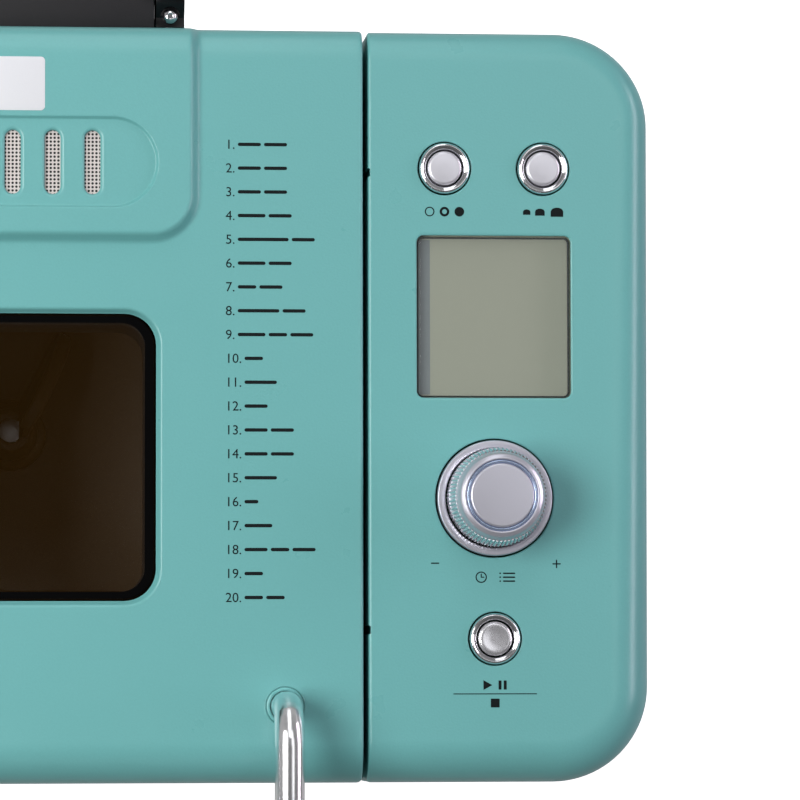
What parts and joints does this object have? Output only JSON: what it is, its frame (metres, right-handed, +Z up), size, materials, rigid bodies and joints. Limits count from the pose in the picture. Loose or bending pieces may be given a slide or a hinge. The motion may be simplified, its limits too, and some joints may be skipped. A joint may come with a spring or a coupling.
{
  "type": "bread machine",
  "caption": "Countertop bread machine with a hinged windowed lid, a lift-out pan with a kneading paddle, a belt drive and a control hood with knob, display and buttons.",
  "frame": {"origin": "on the table under the middle of the overall bounding box", "axes": "+Z up, +X towards the control side, +Y towards the hinge side at the back"},
  "size_m": [0.306, 0.287, 0.3155],
  "materials": {
    "shell_paint": "satin paint",
    "lid_plastic": "satin, fine grain",
    "black_plastic": "fine grain",
    "dark_plastic": "fine grain",
    "foot_rubber": "matt",
    "belt_rubber": "matt",
    "silicone": "matt",
    "chrome": "polished",
    "satin_metal": "satin",
    "pulley_alloy": "die cast",
    "steel": "rolled",
    "pan_coating": "dark non-stick coating",
    "bronze": "sintered",
    "circuit_board": "solder mask",
    "display": "grey-green display",
    "display_lens": "clear, polished",
    "smoked_glass": "smoked, polished"
  },
  "bodies": {
    "housing": {"outer_shell": "shell_paint", "control_hood": "lid_plastic", "base_tray": "black_plastic", "cord_gland": "black_plastic", "hinge_bracket": "black_plastic", "top_deck": "dark_plastic", "foot_front_left": "foot_rubber", "foot_front_right": "foot_rubber", "foot_rear_left": "foot_rubber", "foot_rear_right": "foot_rubber", "drive_belt": "belt_rubber", "color_button_bezel": "chrome", "weight_button_bezel": "chrome", "start_button_bezel": "chrome", "hinge_screw_left": "chrome", "hinge_screw_right": "chrome", "knob_ring": "satin_metal", "heating_element": "steel", "temperature_probe": "steel", "heat_shield": "steel", "pan_socket": "steel", "drive_frame": "steel", "motor": "steel", "encoder_body": "steel", "hinge_pin": "steel", "chamber_liner": "steel", "drive_bearing": "bronze", "control_board": "circuit_board", "power_board": "circuit_board", "display_module": "display", "display_lens": "display_lens"},
    "lid": {"lid_shell": "lid_plastic", "lid_liner": "dark_plastic", "window_gasket": "belt_rubber", "window_glass": "smoked_glass", "lid_seal": "silicone", "vent_mesh": "steel", "lid_handle": "chrome", "handle_nut_left": "steel", "handle_nut_right": "steel", "hinge_block": "dark_plastic"},
    "pan": {"bread_pan": "pan_coating", "pan_base_ring": "steel", "shaft_bushing": "bronze", "shaft_seal": "belt_rubber"},
    "bail": {"pan_bail": "steel"},
    "paddle": {"pan_shaft": "steel", "kneading_paddle": "pan_coating"},
    "drive": {"drive_shaft": "steel", "drive_coupling": "steel", "large_pulley": "pulley_alloy"},
    "rotor": {"motor_pulley": "pulley_alloy"},
    "knob": {"control_knob": "satin_metal", "knob_cap": "satin_metal", "encoder_shaft": "steel"},
    "color_button": {"color_button_cap": "chrome"},
    "weight_button": {"weight_button_cap": "chrome"},
    "start_button": {"start_button_cap": "chrome"}
  },
  "joints": [
    {"name": "lid_hinge", "type": "hinge", "parent": "housing", "child": "lid", "pos_m": [-0.04365, 0.131, 0.256], "axis": [-1, 0, 0], "range_deg": [0, 80]},
    {"name": "pan_twist", "type": "hinge", "parent": "housing", "child": "pan", "pos_m": [-0.04365, 0, 0.1], "axis": [0, 0, 1], "range_deg": [0, 11]},
    {"name": "bail_swing", "type": "hinge", "parent": "pan", "child": "bail", "pos_m": [-0.04365, 0, 0.2185], "axis": [-1, 0, 0], "range_deg": [0, 24]},
    {"name": "drive_spin", "type": "hinge", "parent": "housing", "child": "drive", "pos_m": [-0.04365, 0, 0.05], "axis": [0, 0, 1], "continuous": true},
    {"name": "paddle_spin", "type": "hinge", "parent": "pan", "child": "paddle", "pos_m": [-0.04365, 0, 0.11], "axis": [0, 0, 1], "continuous": true},
    {"name": "motor_spin", "type": "hinge", "parent": "housing", "child": "rotor", "pos_m": [0.107, 0, 0.05], "axis": [0, 0, 1], "continuous": true},
    {"name": "knob_spin", "type": "hinge", "parent": "housing", "child": "knob", "pos_m": [0.1043, -0.02875, 0.3], "axis": [0, 0, 1], "continuous": true},
    {"name": "color_press", "type": "slide", "parent": "housing", "child": "color_button", "axis": [0, 0, -1], "range_m": [0, 0.001], "stiffness_N_per_m": 300},
    {"name": "weight_press", "type": "slide", "parent": "housing", "child": "weight_button", "axis": [0, 0, -1], "range_m": [0, 0.001], "stiffness_N_per_m": 300},
    {"name": "start_press", "type": "slide", "parent": "housing", "child": "start_button", "axis": [0, 0, -1], "range_m": [0, 0.001], "stiffness_N_per_m": 300}
  ],
  "couplings": [
    {"joint": "paddle_spin", "follows": "drive_spin", "ratio": 1},
    {"joint": "motor_spin", "follows": "drive_spin", "ratio": 6.4444}
  ]
}
